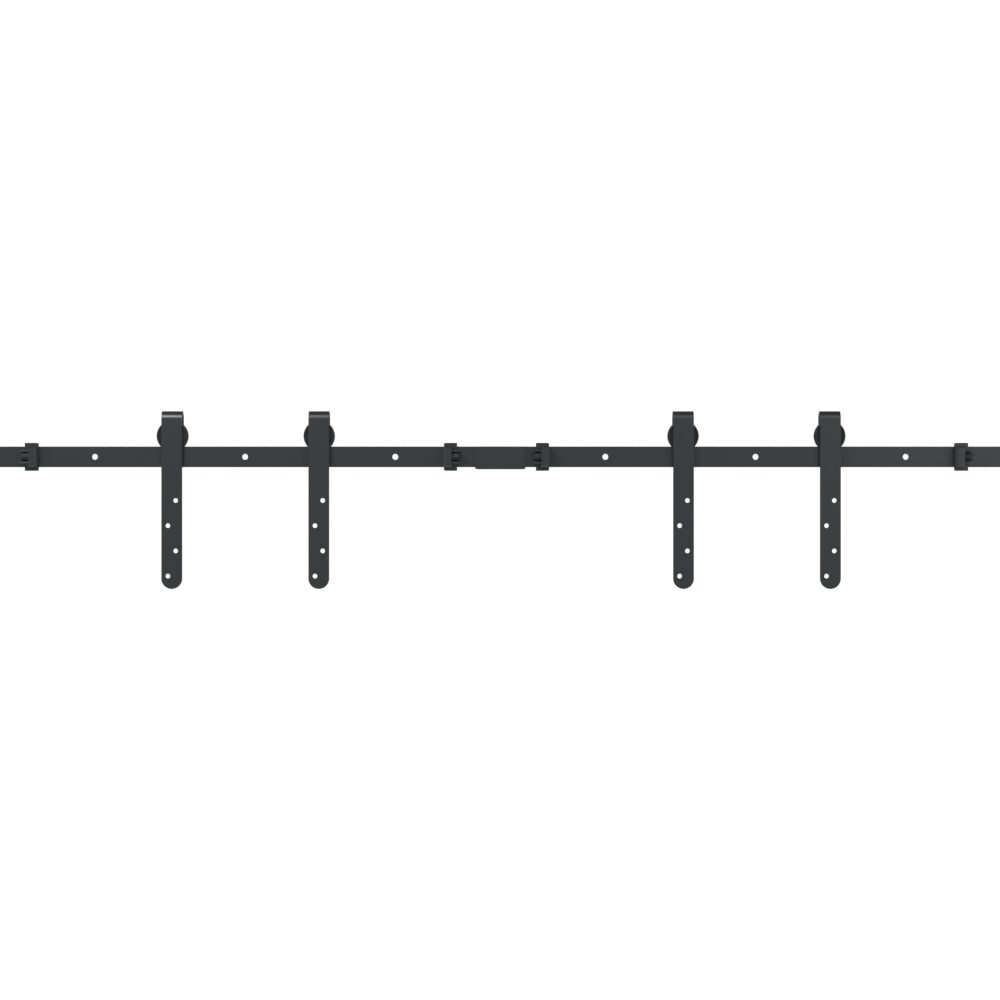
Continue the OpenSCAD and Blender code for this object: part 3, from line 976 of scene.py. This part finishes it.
class BARN_OT_stage(bpy.types.Operator):
    """A pale floor far below, soft light all round, three lamps and the camera"""

    bl_idname = "barn.stage"
    bl_label = "Stage"

    def execute(self, context):
        settings = context.scene.barn_stage
        self.camera(context, settings)
        self.room(context, settings)
        self.floor(context, settings)
        place, aim, size = (-1.0, -1.32, 1.32), (-0.5, 0, 0.05), (0.4, 0.3)
        self.light(context, "key_light", settings.key_power, place, aim, size)
        place, aim, size = (0.2, -1.42, 1.42), (0.2, 0, 0.05), (2.6, 0.25)
        self.light(context, "strip_light", settings.strip_power, place, aim, size)
        place, aim, size = (1.6, -1.8, 0.6), (0.4, 0, 0), (1.4, 1.4)
        self.light(context, "fill_light", settings.fill_power, place, aim, size)
        context.scene.view_settings.view_transform = "Standard"
        return {"FINISHED"}

    def camera(self, context, settings):
        rail_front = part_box("rail_left")[0].y
        lens = bpy.data.cameras.new("camera")
        lens.sensor_width = 36
        lens.lens = lens.sensor_width * settings.distance / settings.span
        eye = bpy.data.objects.new("camera", lens)
        context.scene.collection.objects.link(eye)
        eye.location = (settings.aim_x, rail_front - settings.distance, settings.aim_z)
        eye.rotation_euler = (math.pi / 2, 0, 0)
        context.scene.camera = eye

    def room(self, context, settings):
        """White where it is seen.

        As a light it is dimmer, and brightest low down, as if a pale floor bounced it.
        """
        world = bpy.data.worlds.new("white_room")
        context.scene.world = world
        world.use_nodes = True
        tree = world.node_tree
        tree.nodes.clear()
        seen = add(tree, "ShaderNodeBackground", {"Color": (1, 1, 1, 1), "Strength": 1.05}).outputs[0]
        way = add(tree, "ShaderNodeTexCoord").outputs["Generated"]
        height = add(tree, "ShaderNodeSeparateXYZ", {0: way}).outputs["Z"]
        links = {0: height, 1: -settings.room_light * settings.room_bounce, 2: settings.room_light}
        strength = add(tree, "ShaderNodeMath", links, operation="MULTIPLY_ADD").outputs[0]
        lit = add(tree, "ShaderNodeBackground", {"Color": (0.95, 1, 1, 1), "Strength": strength}).outputs[0]
        ray = add(tree, "ShaderNodeLightPath").outputs["Is Camera Ray"]
        both = add(tree, "ShaderNodeMixShader", {0: ray, 1: lit, 2: seen})
        add(tree, "ShaderNodeOutputWorld", {"Surface": both.outputs[0]})

    def floor(self, context, settings):
        """A pale painted floor that fades out at its edge."""
        radius, glow = 2.2, 0.45
        bm = bmesh.new()
        bmesh.ops.create_circle(bm, cap_ends=True, segments=96, radius=radius)
        mesh = bpy.data.meshes.new("pale_floor")
        bm.to_mesh(mesh)
        bm.free()
        paint, tree, shader = surface("pale_floor_paint")
        place = add(tree, "ShaderNodeTexCoord").outputs["Object"]
        reach = add(tree, "ShaderNodeVectorMath", {0: place}, operation="LENGTH").outputs["Value"]
        start, end = radius * 0.3, radius * 0.98
        links = {"Value": reach, "From Min": start, "From Max": end, "To Min": 1.0, "To Max": 0.0}
        fade = add(tree, "ShaderNodeMapRange", links, interpolation_type="SMOOTHSTEP").outputs["Result"]
        tree.links.new(fade, shader.inputs["Alpha"])
        shader.inputs["Base Color"].default_value = linear("#f2f2f0")
        shader.inputs["Roughness"].default_value = 0.7
        shader.inputs["Emission Color"].default_value = linear("#ffffff")
        shader.inputs["Emission Strength"].default_value = glow
        mesh.materials.append(paint)
        piece = bpy.data.objects.new("pale_floor", mesh)
        context.scene.collection.objects.link(piece)
        piece.location = (0, 0, -settings.floor_drop)

    def light(self, context, name, power, place, aim, size):
        lamp = bpy.data.lights.new(name, "AREA")
        lamp.shape = "RECTANGLE"
        lamp.size, lamp.size_y = size
        lamp.energy = power
        holder = bpy.data.objects.new(name, lamp)
        context.scene.collection.objects.link(holder)
        holder.location = place
        holder.rotation_euler = (Vector(aim) - Vector(place)).to_track_quat("-Z", "Y").to_euler()


class BARN_PT_panel(bpy.types.Panel):
    bl_idname = "BARN_PT_panel"
    bl_label = "Barn door track"
    bl_space_type = "VIEW_3D"
    bl_region_type = "UI"
    bl_category = "Barn door"

    def draw(self, context):
        for group in GROUPS:
            box = self.layout.box()
            settings = getattr(context.scene, group)
            for name in GROUPS[group].__annotations__:
                box.prop(settings, name)
        for operator in OPERATORS:
            self.layout.operator(operator.bl_idname)


GROUPS = {
    "barn_finish": BARN_PG_finish,
    "barn_edges": BARN_PG_edges,
    "barn_details": BARN_PG_details,
    "barn_stage": BARN_PG_stage,
}
OPERATORS = (
    BARN_OT_stage,
    BARN_OT_rails,
    BARN_OT_blocks,
    BARN_OT_stop_bolts,
    BARN_OT_set_screws,
    BARN_OT_straps,
    BARN_OT_axles,
    BARN_OT_wheels,
    BARN_OT_bearings,
    BARN_OT_snap_rings,
)


def register():
    for cls in (*GROUPS.values(), *OPERATORS, BARN_PT_panel):
        bpy.utils.register_class(cls)
    for name, cls in GROUPS.items():
        setattr(bpy.types.Scene, name, bpy.props.PointerProperty(type=cls))


def unregister():
    for name in GROUPS:
        delattr(bpy.types.Scene, name)
    for cls in (BARN_PT_panel, *reversed(OPERATORS), *reversed(GROUPS.values())):
        bpy.utils.unregister_class(cls)


def main():
    register()
    for operator in OPERATORS:
        group, name = operator.bl_idname.split(".")
        getattr(getattr(bpy.ops, group), name)()


if __name__ == "__main__":
    main()
